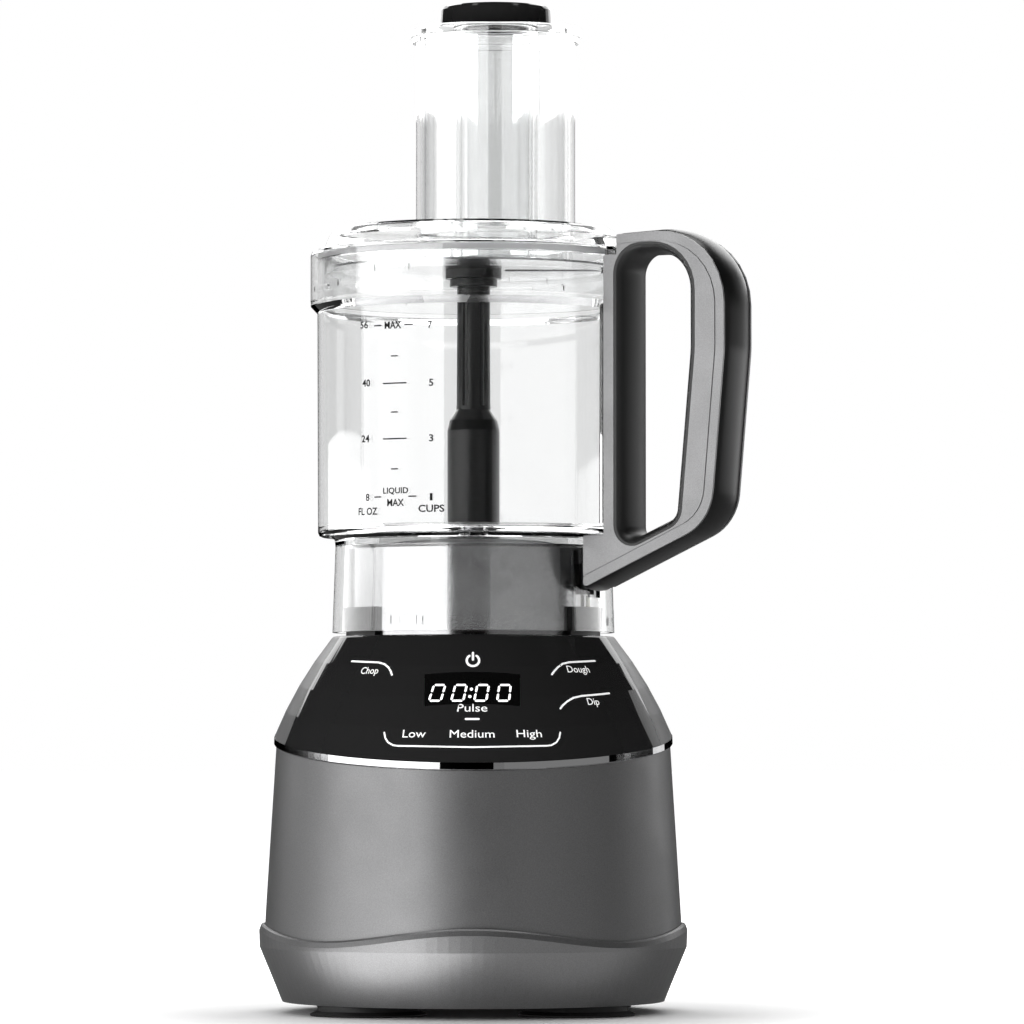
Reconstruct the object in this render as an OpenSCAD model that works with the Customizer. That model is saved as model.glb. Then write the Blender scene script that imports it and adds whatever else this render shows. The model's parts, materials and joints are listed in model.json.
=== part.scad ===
// Seven-cup food processor: motor base, clear bowl with a loop handle, lid with a wide feed chute,
// nested pushers, and a stem that carries a slicing disc. Millimetres, +Z up, control panel towards -Y.
// The origin is where the drive axis meets the surface that the feet stand on.

/* [Base] */
// Height of the underside above the table
underside_z = 5; // [4:0.5:7]
// Largest radius of the lower skirt
skirt_r = 102.5; // [100:0.5:104]
// Radius of the body where the panel begins
body_top_r = 94.3; // [90:0.1:96]
// Height of the panel's lower edge at the sides
panel_low_z = 128; // [124:1:132]
// Height of the deck that the bowl's skirt stands over
deck_z = 179; // [176:1:182]
// Radius of the deck
deck_r = 68; // [66:0.5:70]
// Half of the angle that the control panel spans
panel_half_angle = 69.5; // [60:0.5:80]
// Radius of the steel neck
neck_r = 60.5; // [59:0.5:61]
// Height of the top of the neck
neck_top_z = 223; // [221:0.5:223.5]

/* [Bowl] */
// Outer radius of the bowl
bowl_r = 75; // [74:0.5:76]
// Thickness of the bowl's wall
bowl_wall = 2.6; // [2:0.1:3]
// Height of the inside floor
bowl_floor_z = 229.4; // [229:0.1:230]
// Height of the bowl's rim
bowl_rim_z = 359.5; // [358:0.5:360]

/* [Handle] */
// Direction of the handle seen from above, 0 is +X
handle_angle = -30; // [-60:5:0]
// Full thickness of the handle
handle_t = 28; // [24:1:30]
// Reach of the handle from the axis
handle_reach = 143.4; // [138:0.1:146]

/* [Lid and pushers] */
// Radius of the ends of the chute's stadium outline
chute_r = 30.2; // [28:0.1:30.5]
// Length of the straight stretch of the chute's outline
chute_straight = 17; // [14:1:18]
// Height of the chute's mouth
chute_top_z = 471; // [440:1:480]
// Radius of the small feed tube's outside
tube_r = 20.5; // [18:0.5:21]

/* [Drive] */
// Radius of the slicing disc
disc_r = 68; // [66:0.5:68.5]
// Height of the disc's underside
disc_z = 355; // [354:0.5:355]
// Gear module
gear_m = 1; // [0.9:0.05:1]

/* [Hidden] */
$fn = 96;
eps = 0.01;
tilt = 7.6;                    // lean of the panel's lower edge, degrees, lower at the front
shell = 2.6;                   // wall of the base's mouldings
shoulder_swell = 2;            // how far the shoulder swells beyond a straight cone
trim_h = 3.6;                  // height of the polished trim under the panel and shoulder
panel_in_r = 64.8;             // where the panel and shoulder meet the deck ring
side_slope = 0.0622;           // growth of the body's radius for each millimetre down
body_low_z = 31;               // bottom of the body shell, inside the skirt
wave_mid_z = 39;               // mean height of the skirt's wavy edge
wave_h = 3.3;                  // rise and fall of that edge
wave_steps = 120;
foot_x = 49;
foot_y = 47;
lock_angles = [-30, 90, 210];  // three locking blocks round the neck
lock_top_z = 192.5;
skirt_low_z = 181;             // lower edge of the bowl's skirt
collar_z = 339.4;              // ledge on the bowl that the lid's skirt comes down to
lid_skirt_r = 78.3;
lid_ledge_z = 364;
lid_top_z = 375;
tab_z = 359.4;                 // underside of the lid's tab
notch_z = 358.3;               // floor of the notch in the handle that the tab rests over
notch_out = 86.2;              // outer side of that notch
rod_travel = 4;
switch_top_z = 172;
outlet_z = 52;                 // height of the outlet at the rear
lid_turn = 20;                 // degrees
cam_slope = atan(rod_travel / (81.8 * lid_turn * PI / 180));
chute_x = 10.5;
chute_y = 31;
chute_wall = 2.2;
chute_low_z = 358.5;
pusher_low_z = 361;
pusher_top_z = chute_top_z + 4.2;
cap_r = 27.9;
cap_low_z = pusher_top_z + 0.4;
cap_top_z = cap_low_z + 10.2;
sun_n = 18;
planet_n = 21;
ring_n = 60;
planet_orbit = (sun_n + planet_n) * gear_m / 2;
planet_angles = [0, 120, 240];
gear_z = 134;
handle_in = 79.2;              // inner edge of the handle beside the bowl
plate_face_t = 1.4;            // thickness of a side plate's face
arm_in = 68.2;                 // inner end of the handle's lower arm

// ---------- shared shapes ----------

// Outline with filleted corners, from [x, y, fillet radius] at each corner.
function unit(v) = v / norm(v);
function corner(a, b, c, r, n = 8) =
    let (u = unit([a[0] - b[0], a[1] - b[1]]), v = unit([c[0] - b[0], c[1] - b[1]]),
         half = acos(u * v) / 2, reach = r / tan(half), mid = unit(u + v),
         centre = [b[0], b[1]] + mid * r / sin(half),
         p = [b[0], b[1]] + u * reach - centre, q = [b[0], b[1]] + v * reach - centre,
         a0 = atan2(p[1], p[0]), turn = atan2(p[0] * q[1] - p[1] * q[0], p * q))
    r <= 0 ? [[b[0], b[1]]]
           : [for (i = [0:n]) centre + r * [cos(a0 + turn * i / n), sin(a0 + turn * i / n)]];
function filleted(pts, n = 8) =
    let (m = len(pts))
    [for (i = [0:m - 1]) each corner(pts[(i + m - 1) % m], pts[i], pts[(i + 1) % m], pts[i][2], n)];

module ring(r_out, r_in, z0, z1) {
    difference() {
        translate([0, 0, z0]) cylinder(h = z1 - z0, r = r_out);
        translate([0, 0, z0 - 1]) cylinder(h = z1 - z0 + 2, r = r_in);
    }
}

// Solid prism on the chute's stadium outline, r at its ends.
module stadium(r, z0, z1) {
    translate([chute_x, chute_y, z0]) {
        for (s = [-1, 1]) translate([s * chute_straight / 2, 0, 0]) cylinder(h = z1 - z0, r = r);
        translate([-chute_straight / 2, -r, 0]) cube([chute_straight, 2 * r, z1 - z0]);
    }
}

// Wedge from the axis, centred on a direction.
module wedge(direction, half_angle, z0, z1, reach = 160) {
    translate([0, 0, z0]) rotate([0, 0, direction]) linear_extrude(z1 - z0)
        polygon([[0, 0], [reach * cos(half_angle), -reach * sin(half_angle)], [reach, -reach / 2],
                 [reach, reach / 2], [reach * cos(half_angle), reach * sin(half_angle)]]);
}

// ---------- gears ----------

function involute(a) = tan(a) * 180 / PI - a;
// Half of a tooth's angle at radius r. play is added to each flank, in millimetres at the pitch circle.
function half_tooth(r, n, play) =
    let (rp = n * gear_m / 2, rb = rp * cos(20), at = acos(min(1, rb / max(r, rb))))
    90 / n - play / rp * 180 / PI + involute(20) - involute(at);
function gear_outline(n, r_root, r_tip, play) =
    let (rp = n * gear_m / 2, rb = rp * cos(20), low = max(r_root, rb),
         radii = [r_root, low + (r_tip - low) * 0.15, low + (r_tip - low) * 0.5, r_tip])
    [for (i = [0:n - 1]) each concat(
        [for (r = radii) let (a = 360 * i / n - half_tooth(r, n, play)) r * [cos(a), sin(a)]],
        [for (k = [3:-1:0]) let (r = radii[k], a = 360 * i / n + half_tooth(r, n, play)) r * [cos(a), sin(a)]])];
module spur_gear(n, bore, z0, z1) {
    rp = n * gear_m / 2;
    translate([0, 0, z0]) difference() {
        linear_extrude(z1 - z0) polygon(gear_outline(n, rp - 1.15 * gear_m, rp + 0.85 * gear_m, 0.08));
        translate([0, 0, -1]) cylinder(h = z1 - z0 + 2, r = bore);
    }
}

// ---------- base mouldings ----------

module at_tilt() translate([0, 0, panel_low_z]) rotate([tilt, 0, 0]) children();

// Everything above the leaning plane of the panel's lower edge.
module above_tilt(lift = 0) at_tilt() translate([-150, -150, lift]) cube([300, 300, 150]);

// Wall of the shoulder as [radius, height] pairs in the direction a: slope, deck edge and inside.
function lean_z(r, a) = panel_low_z + r * sin(a) * tan(tilt);
function shoulder_section(a) =
    let (r1 = body_top_r + 0.9, low = trim_h + 0.1, p = [r1, lean_z(r1, a) + low], q = [deck_r, deck_z - 0.8],
         out = unit([q[1] - p[1], p[0] - q[0]]))
    [each [for (t = [0:0.25:1]) p + (q - p) * t + out * shoulder_swell * 4 * t * (1 - t)], [deck_r - 0.8, deck_z], [panel_in_r, deck_z],
     [panel_in_r, deck_z - shell], [deck_r - 1.8, deck_z - shell], [r1 - 3, lean_z(r1 - 3, a) + low]];
function trim_section(a) =
    let (r1 = body_top_r + 1.2, top = trim_h)
    [[r1 - 0.5, lean_z(r1 - 0.5, a)], [r1, lean_z(r1, a) + 0.6], [r1 - 0.1, lean_z(r1 - 0.1, a) + top],
     [r1 - 3.2, lean_z(r1 - 3.2, a) + top], [r1 - 3.2, lean_z(r1 - 3.2, a)]];

// Sections joined into a solid. With closed it runs all the way round, and otherwise it has flat ends.
module loft(sections, closed) {
    n = len(sections);
    k = len(sections[0]);
    function at(i, j) = (i % n) * k + j % k;
    sides = [for (i = [0:n - (closed ? 1 : 2)]) for (j = [0:k - 1])
                 each [[at(i, j), at(i, j + 1), at(i + 1, j)], [at(i, j + 1), at(i + 1, j + 1), at(i + 1, j)]]];
    first = [for (j = [k - 1:-1:0]) at(0, j)];
    last = [for (j = [0:k - 1]) at(n - 1, j)];
    polyhedron([for (s = sections) each s], closed ? sides : concat(sides, [first, last]), convexity = 6);
}
// A section of [radius, height] pairs, stood up in the direction a.
function stood(section, a) = [for (p = section) [p[0] * cos(a), p[0] * sin(a), p[1]]];
module shoulder_sector(a0, a1, steps)
    loft([for (i = [0:steps]) let (a = a0 + (a1 - a0) * i / steps) stood(shoulder_section(a), a)], false);

// Block that cuts the display window out of the panel, grown by g.
module display_block(g = 0) {
    translate([0, -79, 152.8]) rotate([-24, 0, 0])
        cube([44.6 + 2 * g, 30, 16.6 + 2 * g], center = true);
}

module shoulder_shell() color([0.33, 0.33, 0.34])
    shoulder_sector(-90 + panel_half_angle, 270 - panel_half_angle, 108);
module control_panel() color([0.06, 0.06, 0.065]) difference() {
    shoulder_sector(-90 - panel_half_angle + 0.2, -90 + panel_half_angle - 0.2, 72);
    display_block();
}
module display_lens() color([0.03, 0.03, 0.03]) intersection() {
    shoulder_sector(-110, -70, 20);
    display_block(-0.15);
}

// Polished ring round the break between the body and the shoulder.
module trim_ring() color([0.8, 0.8, 0.82])
    loft([for (i = [0:wave_steps - 1]) let (a = 360 * i / wave_steps) stood(trim_section(a), a)], true);

// Ring of the deck that the neck and the locking blocks stand on.
module deck_ring() color([0.3, 0.3, 0.31]) difference() {
    ring(panel_in_r - 0.15, 57, deck_z - shell, deck_z);
    in_handle() translate([62, 0, deck_z - 10]) cylinder(h = 20, r = 1.2);
}

function r_at(z) = body_top_r + (panel_low_z - z) * side_slope;
module body_shell() color([0.33, 0.33, 0.34]) difference() {
    union() {
        rotate_extrude() polygon([[r_at(body_low_z), body_low_z], [r_at(145), 145],
                                  [r_at(145) - shell, 145], [r_at(body_low_z) - shell, body_low_z]]);
        for (a = [0:90:270]) rotate([0, 0, a]) {
            translate([80, 0, body_low_z + 0.1]) cylinder(h = 13, r = 5);
            translate([80, -1.5, body_low_z + 0.1]) cube([18, 3, 13]);
        }
    }
    above_tilt(-0.15);
    for (a = [0:90:270]) rotate([0, 0, a]) translate([80, 0, body_low_z - 1]) cylinder(h = 11, r = 2.1);
    translate([0, 90, outlet_z]) rotate([-90, 0, 0]) cylinder(h = 20, r = 6.5);
    translate([0, 97.95, outlet_z]) rotate([-90, 0, 0]) cylinder(h = 10, r = 9.1);
}

// Ring whose section changes with the angle: the top edge rises and falls four times round.
function wave_z(a) = wave_mid_z + wave_h * cos(4 * a);
function skirt_section(a) =
    let (t = wave_z(a))
    [[91.4, underside_z], [skirt_r - 0.3, 31], [skirt_r, t - 3.2], [101.6, t - 0.8], [100.9, t],
     [100.1, t], [100.55, 30.5], [99.6, 29.4], [89, 8.2], [89, underside_z]];
module base_skirt() color([0.37, 0.37, 0.38])
    loft([for (i = [0:wave_steps - 1]) let (a = 360 * i / wave_steps) stood(skirt_section(a + 90), a)], true);

module bottom_cover() color([0.1, 0.1, 0.1]) difference() {
    union() {
        translate([0, 0, underside_z]) cylinder(h = 2.5, r = 88.6);
        for (a = [0:90:270]) rotate([0, 0, a]) translate([80, 0, underside_z]) cylinder(h = body_low_z - underside_z, r = 5);
        ring(60, 58, underside_z, underside_z + 8);
    }
    for (a = [0:90:270]) rotate([0, 0, a]) translate([80, 0, 0]) cylinder(h = 40, r = 2.1);
    for (a = [0:90:270]) rotate([0, 0, a]) translate([80, 0, underside_z - 1]) cylinder(h = 3.2, r = 4);
    for (x = [-40:10:40]) translate([x - 2, -22, 0]) cube([4, 44, 20]);
    for (x = [-foot_x, foot_x], y = [-foot_y, foot_y]) translate([x, y, 0]) cylinder(h = 20, r = 6);
}

// Suction foot: a wide lip round a hollow, held by a stub through the cover.
module foot(x, y) color([0.07, 0.07, 0.07]) translate([x, y, 0]) rotate_extrude()
    polygon([[0, 2], [20, 2], [24, 0], [27.3, 0], [27.6, 0.9], [24.4, 2.4], [23.6, underside_z - 0.1],
             [5.8, underside_z - 0.1], [5.8, 8.4], [7.2, 8.4], [6.4, 10], [0, 10]]);
module foot_front_left() foot(-foot_x, -foot_y);
module foot_front_right() foot(foot_x, -foot_y);
module foot_rear_left() foot(-foot_x, foot_y);
module foot_rear_right() foot(foot_x, foot_y);

module base_screws() color([0.7, 0.7, 0.72]) for (a = [0:90:270]) rotate([0, 0, a]) translate([80, 0, 0]) {
    difference() {
        translate([0, 0, underside_z + 0.3]) cylinder(h = 1.8, r = 3.4);
        translate([-2.5, -0.4, underside_z]) cube([5, 0.8, 1.1]);
        translate([-0.4, -2.5, underside_z]) cube([0.8, 5, 1.1]);
    }
    translate([0, 0, underside_z + 2]) cylinder(h = 32, r = 1.9);
}

// Moulded outlet at the rear where a mains lead would leave the base.
module cord_gland() color([0.08, 0.08, 0.08]) translate([0, 98, outlet_z]) rotate([-90, 0, 0]) difference() {
    union() {
        cylinder(h = 4, r = 9);
        translate([0, 0, -4.5]) cylinder(h = 5, r = 6.4);
    }
    translate([0, 0, -10]) cylinder(h = 30, r = 3.6);
}

// ---------- neck and interlock ----------

module neck_cover() color([0.72, 0.72, 0.74]) difference() {
    rotate_extrude() polygon([[neck_r, deck_z], [neck_r, neck_top_z - 2.5], [neck_r - 0.8, neck_top_z - 0.8],
                              [neck_r - 2.5, neck_top_z], [12, neck_top_z], [12, neck_top_z - 1.2],
                              [neck_r - 2.8, neck_top_z - 1.2], [neck_r - 1.2, neck_top_z - 2.8],
                              [neck_r - 1.2, deck_z]]);
}

module lock_block(a) {
    intersection() {
        ring(63.3, neck_r + 0.1, deck_z + 0.1, lock_top_z);
        wedge(a, 13, deck_z, lock_top_z + 1);
    }
}
module locking_blocks() color([0.08, 0.08, 0.08]) difference() {
    for (a = lock_angles) lock_block(a);
    in_handle() translate([62, 0, deck_z - 1]) cylinder(h = 30, r = 1.15);
}

module switch_plunger() color([0.85, 0.85, 0.8]) rotate([0, 0, handle_angle]) translate([62, 0, switch_top_z + 0.3])
    cylinder(h = 198 - switch_top_z - 0.3, r = 1);

module interlock_switch() color([0.12, 0.12, 0.12]) rotate([0, 0, handle_angle]) difference() {
    translate([57.4, -6, switch_top_z - 14]) cube([8.6, 12, 14]);
    translate([60, -7, switch_top_z - 11]) cube([2, 14, 1.2]);
}

module shaft_seal() color([0.12, 0.12, 0.12]) rotate_extrude()
    polygon([[5.06, 212.1], [11.8, 212.1], [11.8, neck_top_z + 0.6], [9.6, neck_top_z + 1.4], [5.06, neck_top_z + 1.4]]);

// ---------- motor and gearbox ----------

module stator_core() color([0.55, 0.56, 0.58]) difference() {
    intersection() {
        translate([-36, -36, 60]) cube([72, 72, 42]);
        translate([0, 0, 59]) cylinder(h = 50, r = 44);
    }
    translate([0, 0, 50]) cylinder(h = 70, r = 22.2);
    for (s = [-1, 1], t = [-1, 1]) translate([s * 27 - 3.5, t * 16.5 - 3.6, 50]) cube([7, 7.2, 70]);
    for (a = [45:90:315]) rotate([0, 0, a]) translate([45, 0, 50]) cylinder(h = 60, r = 5.1);
}

module field_coils() color([0.72, 0.38, 0.16]) for (s = [-1, 1]) difference() {
    translate([s * 27 - 3.2, -19, 55]) cube([6.4, 38, 52]);
    translate([s * 27 - 4, -13, 59.9]) cube([8, 26, 42.2]);
}

module motor_bracket(z0, z1) {
    difference() {
        union() {
            translate([0, 0, z0]) cylinder(h = z1 - z0, r = 15);
            for (a = [45:90:315]) rotate([0, 0, a]) {
                translate([0, -5, z0]) cube([45, 10, 4]);
                translate([45, 0, z0]) cylinder(h = 4, r = 6);
            }
        }
        translate([0, 0, z0 - 1]) cylinder(h = z1 - z0 + 2, r = 8.02);
        for (a = [45:90:315]) rotate([0, 0, a]) translate([45, 0, z0 - 1]) cylinder(h = 20, r = 2.6);
    }
}
module upper_motor_bracket() color([0.75, 0.75, 0.77]) motor_bracket(119, 127);
module lower_motor_bracket() color([0.75, 0.75, 0.77]) motor_bracket(28, 36);
module motor_bushes() color([0.72, 0.52, 0.28]) {
    ring(8, 4.04, 119.5, 126.5);
    ring(8, 4.04, 28.5, 35.5);
}

// Four tie rods that carry the motor between the cover's ribs and the gearbox.
module motor_standoffs() color([0.65, 0.65, 0.67]) for (a = [45:90:315]) rotate([0, 0, a]) translate([45, 0, 0]) {
    translate([0, 0, 7.6]) cylinder(h = 20.3, r = 5);
    translate([0, 0, 27.9]) cylinder(h = 4.2, r = 2.4);
    translate([0, 0, 32.1]) cylinder(h = 86.8, r = 5);
    translate([0, 0, 118.9]) cylinder(h = 4.2, r = 2.4);
    translate([0, 0, 123.1]) cylinder(h = 5.8, r = 4);
}

module brush_holders() color([0.72, 0.55, 0.25]) for (s = [-1, 1]) difference() {
    translate([-4.5, s * 22 - 10, 40]) cube([9, 20, 12]);
    translate([-3.1, s * 22 - 11, 41.5]) cube([6.2, 22, 9]);
}
module carbon_brushes() color([0.2, 0.2, 0.2]) for (s = [-1, 1])
    translate([-3, s * 19 - 7.7, 41.6]) cube([6, 15.4, 8.8]);

module rotor_core() color([0.5, 0.5, 0.52]) difference() {
    union() {
        translate([0, 0, 60]) cylinder(h = 42, r = 21.6);
        translate([0, 0, 54.5]) cylinder(h = 5.5, r1 = 13, r2 = 18);
        translate([0, 0, 102]) cylinder(h = 4, r1 = 18, r2 = 14);
    }
    translate([0, 0, 50]) cylinder(h = 60, r = 4.02);
    for (a = [0:30:330]) rotate([0, 0, a]) translate([19, -1.2, 59]) cube([4, 2.4, 44]);
}
module commutator() color([0.75, 0.42, 0.2]) difference() {
    ring(11, 4.02, 38, 54);
    for (a = [0:15:345]) rotate([0, 0, a]) translate([9.8, -0.3, 37]) cube([2, 0.6, 18]);
}
module rotor_shaft() color([0.78, 0.78, 0.8]) translate([0, 0, 26]) cylinder(h = 124, r = 4);
module sun_gear() color([0.62, 0.62, 0.64]) spur_gear(sun_n, 4.02, 131, 149);
module cooling_fan() color([0.15, 0.15, 0.15]) difference() {
    union() {
        ring(10, 4.02, 107.5, 117.5);
        ring(34, 5, 107.5, 109);
        for (a = [0:30:330]) rotate([0, 0, a]) translate([9, -0.8, 108]) cube([25, 1.6, 9]);
    }
}

module gearbox_housing() color([0.78, 0.78, 0.8]) difference() {
    union() {
        translate([0, 0, 129]) cylinder(h = 38, r = 40);
        for (a = [45:90:315]) rotate([0, 0, a]) translate([45, 0, 129]) cylinder(h = 8, r = 8);
        translate([0, 0, 166]) cylinder(h = 46, r = 13);
        translate([0, 0, 167]) cylinder(h = 3, r = 56.5);
        ring(56.5, 53, 167, deck_z - 3.6);
    }
    translate([0, 0, 131.5]) cylinder(h = 31.5, r = 36.1);
    translate([0, 0, 120]) cylinder(h = 20, r = 11);
    translate([0, 0, 160]) cylinder(h = 60, r = 8.02);
    for (a = [45:90:315]) rotate([0, 0, a]) translate([45, 0, 120]) cylinder(h = 20, r = 4.3);
    for (a = [0:60:300]) rotate([0, 0, a]) translate([47, 0, 160]) cylinder(h = 20, r = 3);
}

module ring_gear() color([0.85, 0.84, 0.78]) difference() {
    translate([0, 0, gear_z - 1]) cylinder(h = 15, r = 36);
    translate([0, 0, gear_z - 2]) linear_extrude(17)
        polygon(gear_outline(ring_n, ring_n / 2 * gear_m - 0.85 * gear_m, ring_n / 2 * gear_m + 1.15 * gear_m, -0.08));
}
module output_bush() color([0.72, 0.52, 0.28]) {
    ring(8, 5.04, 166.5, 176);
    ring(8, 5.04, 202, 211.5);
}

module planet_gear(a) color([0.9, 0.88, 0.8]) rotate([0, 0, a]) translate([planet_orbit, 0, 0])
    spur_gear(planet_n, 3.05, gear_z, gear_z + 12);
module planet_gear_1() planet_gear(planet_angles[0]);
module planet_gear_2() planet_gear(planet_angles[1]);
module planet_gear_3() planet_gear(planet_angles[2]);

module planet_carrier() color([0.6, 0.6, 0.62]) difference() {
    union() {
        translate([0, 0, 152]) cylinder(h = 6, r = 27);
        translate([0, 0, 157]) cylinder(h = 5, r = 12);
        for (a = planet_angles) rotate([0, 0, a]) translate([planet_orbit, 0, gear_z + 0.3]) {
            cylinder(h = 19, r = 3);
            translate([0, 0, 12.2]) cylinder(h = 6, r = 5);
        }
    }
    translate([0, 0, 150]) cylinder(h = 20, r = 5.01);
}

module hex_prism(across, z0, z1) translate([0, 0, z0]) cylinder(h = z1 - z0, r = across / 2 / cos(30), $fn = 6);

module output_shaft() color([0.8, 0.8, 0.82]) {
    translate([0, 0, 152.5]) cylinder(h = 101.6, r = 5);
    hex_prism(12, 254, 274);
    translate([0, 0, 274]) cylinder(h = 2, r1 = 5.6, r2 = 4.2);
}

// ---------- electronics ----------

module display_board() color([0.1, 0.32, 0.16]) translate([0, -70.5, 147.5]) rotate([-24, 0, 0]) difference() {
    union() {
        cube([60, 1.6, 34], center = true);
        translate([0, -2.6, 6]) cube([42, 3.8, 15], center = true);
        for (x = [-20, -10, 0, 10, 20]) translate([x, 2, -9]) cube([7, 2.6, 7], center = true);
    }
    for (x = [-27, 27], z = [-14, 14]) translate([x, -5, z]) rotate([-90, 0, 0]) cylinder(h = 10, r = 1.5);
}

module power_board() color([0.1, 0.32, 0.16]) difference() {
    union() {
        translate([-30, 68, 46]) cube([60, 1.6, 62]);
        translate([-22, 56, 52]) cube([16, 12.1, 20]);
        translate([-20, 58, 82]) cube([20, 10.1, 16]);
        translate([14, 68.1, 62]) rotate([90, 0, 0]) cylinder(h = 16, r = 8);
        translate([8, 60, 84]) cube([14, 8.1, 12]);
    }
    for (x = [-26, 26], z = [50, 104]) translate([x, 60, z]) rotate([-90, 0, 0]) cylinder(h = 12, r = 1.6);
}

// ---------- bowl and handle ----------

module in_handle() rotate([0, 0, handle_angle]) children();
// Prism on a radial outline, between two offsets from the handle's middle plane.
module handle_slab(y0, y1) in_handle() translate([0, y1, 0]) rotate([90, 0, 0]) linear_extrude(y1 - y0) children();

module handle_outline() polygon(filleted([
    [notch_out, 367.8, 0.8], [handle_reach, 369.9, 35], [handle_reach, 312, 60],
    [handle_reach - 7.4, 231.2, 24], [arm_in, 201.5, 1.5], [arm_in, 226, 0.5], [handle_in, 226, 0.5],
    [handle_in, notch_z, 0.8], [notch_out, notch_z, 0.5]]));
// Inside of the black cover, drawn in further by g.
module cover_inside(g = 0) polygon(filleted([
    [60, 363.6 - g, 0], [handle_reach - 3.2 - g, 366.6 - g, 31.8 - g], [handle_reach - 3.2 - g, 312.1, 56.8],
    [handle_reach - 10.42 - 0.8 * g, 233.37 + g, 20.8 - g], [60, 201.4 + 1.1 * g, 0]]));
// Outline of the finger gap, grown by g.
module loop_outline(g = 0) polygon(filleted([
    [87 - g, 361.3 + g, 12 + g], [125.7 + g, 361.3 + g, 21 + g], [125.7 + g, 312, 80],
    [118.3 + 0.94 * g, 232.7 - 0.68 * g, 8 + g], [87 - g, 219.1 - 1.53 * g, 7.5 + g]]));

// Side plate: a thin face over the whole side, a thick web inside the cover, and a groove near the edge.
module handle_plate() {
    face = handle_t / 2;
    difference() {
        union() {
            handle_slab(face - plate_face_t, face) difference() {
                handle_outline();
                loop_outline(2.45);
            }
            handle_slab(5, face - plate_face_t + eps) difference() {
                intersection() {
                    handle_outline();
                    cover_inside(0.15);
                }
                loop_outline(2.45);
            }
        }
        handle_slab(face - 0.5, face + 1) difference() {
            cover_inside(1.1);
            cover_inside(1.7);
        }
    }
}
module handle_plate_front() color([0.62, 0.62, 0.64]) difference() {
    rotate([0, 0, 2 * handle_angle]) mirror([0, 1, 0]) handle_plate();
    screw_holes(-10.5, -4, 1.6);
}
module handle_plate_rear() color([0.62, 0.62, 0.64]) difference() {
    union() {
        handle_plate();
        in_handle() translate([73, -4.9, 223.6]) cube([6, 10.4, 2]);
    }
    screw_holes(4, 20, 1.9);
    screw_holes(10.2, 20, 2.4);
}
module grip_cover() color([0.05, 0.05, 0.05]) difference() {
    handle_slab(-handle_t / 2 + plate_face_t + 0.05, handle_t / 2 - plate_face_t - 0.05) difference() {
        handle_outline();
        cover_inside();
    }
    // Seat for the foot of the safety rod.
    in_handle() translate([60, -4.6, 209.7]) cube([24.3, 9.2, 6]);
}
module loop_liner() color([0.06, 0.06, 0.06]) handle_slab(-handle_t / 2, handle_t / 2) difference() {
    loop_outline(2.3);
    loop_outline();
}

screw_spots = [[71, 221.5], [132.5, 285], [131.5, 338]];
module screw_holes(y0, y1, r) in_handle() for (s = screw_spots)
    translate([s[0], y0, s[1]]) rotate([-90, 0, 0]) cylinder(h = y1 - y0, r = r);
module handle_screws() color([0.3, 0.3, 0.3]) in_handle() for (s = screw_spots) {
    translate([s[0], -9.8, s[1]]) rotate([-90, 0, 0]) cylinder(h = 20.5, r = 1.5);
    translate([s[0], 10.4, s[1]]) rotate([-90, 0, 0]) cylinder(h = 1.8, r = 2.2);
}

module bowl_lug(a, z0, h) intersection() {
    ring(bowl_r + 1.3, bowl_r - 1, z0, z0 + h);
    wedge(a, 7, z0 - 1, z0 + h + 1);
}

module bowl() color([0.85, 0.9, 0.92, 0.3]) difference() {
    union() {
        rotate_extrude() polygon([
            [67.6, skirt_low_z], [66.2, 222], [66.6, 225.4], [68, 226.8], [72.6, 226.8], [74, 227.4],
            [74.6, 229], [bowl_r, collar_z - 5.2], [78.2, collar_z - 1.8], [78.2, collar_z], [bowl_r, collar_z],
            [bowl_r, bowl_rim_z - 0.6], [bowl_r - 0.6, bowl_rim_z], [bowl_r - bowl_wall + 0.6, bowl_rim_z],
            [bowl_r - bowl_wall, bowl_rim_z - 0.6], [72, 231.4], [71.4, 230], [70, bowl_floor_z],
            [11, bowl_floor_z], [9.4, 231], [9.2, 254], [7.4, 254], [7.4, 226.8], [62.4, 226.8], [63.9, 225],
            [64.2, 222], [65.2, skirt_low_z]]);
        for (a = [0:90:270]) bowl_lug(a + 60, 350, 3);
        // Bracket behind the handle.
        in_handle() translate([bowl_r - 1, -9, 232]) cube([5.1, 18, 104]);
        // Lugs inside the skirt, beside the locking blocks.
        for (a = lock_angles) intersection() {
            ring(65.2, 63.6, 184, 188);
            wedge(a + 30, 6, 183, 189);
        }
    }
    // Window in the skirt for the safety rod's foot.
    in_handle() translate([60, -5, 197]) cube([9, 10, 23]);
}

module bowl_gasket() color([0.75, 0.75, 0.75]) ring(46, 40, neck_top_z + 0.2, 226.6);

// Slider in the handle: the lid's tab presses its sloping top, and its foot reaches the switch plunger.
module safety_rod() color([0.1, 0.1, 0.1]) in_handle() {
    difference() {
        translate([80, -4, 210]) cube([3.6, 8, 153.5]);
        translate([78, 4, tab_z - 0.15]) rotate([-cam_slope, 0, 0]) translate([0, -30, 0]) cube([8, 60, 20]);
    }
    translate([60.9, -4, 210]) cube([19.7, 8, 2.9]);
    translate([60.9, -4, 198.5]) cube([3.1, 8, 12]);
}

module rod_spring() color([0.7, 0.7, 0.72]) in_handle() translate([75.6, 0, 213])
    for (i = [0:4]) translate([0, 0, i * 2.4]) rotate_extrude() translate([2.2, 0.5]) circle(r = 0.45, $fn = 16);

// ---------- lid and pushers ----------

module lid_seal() color([0.85, 0.85, 0.85]) ring(74.9, 72.6, bowl_rim_z + 0.1, 361.9);

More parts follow.
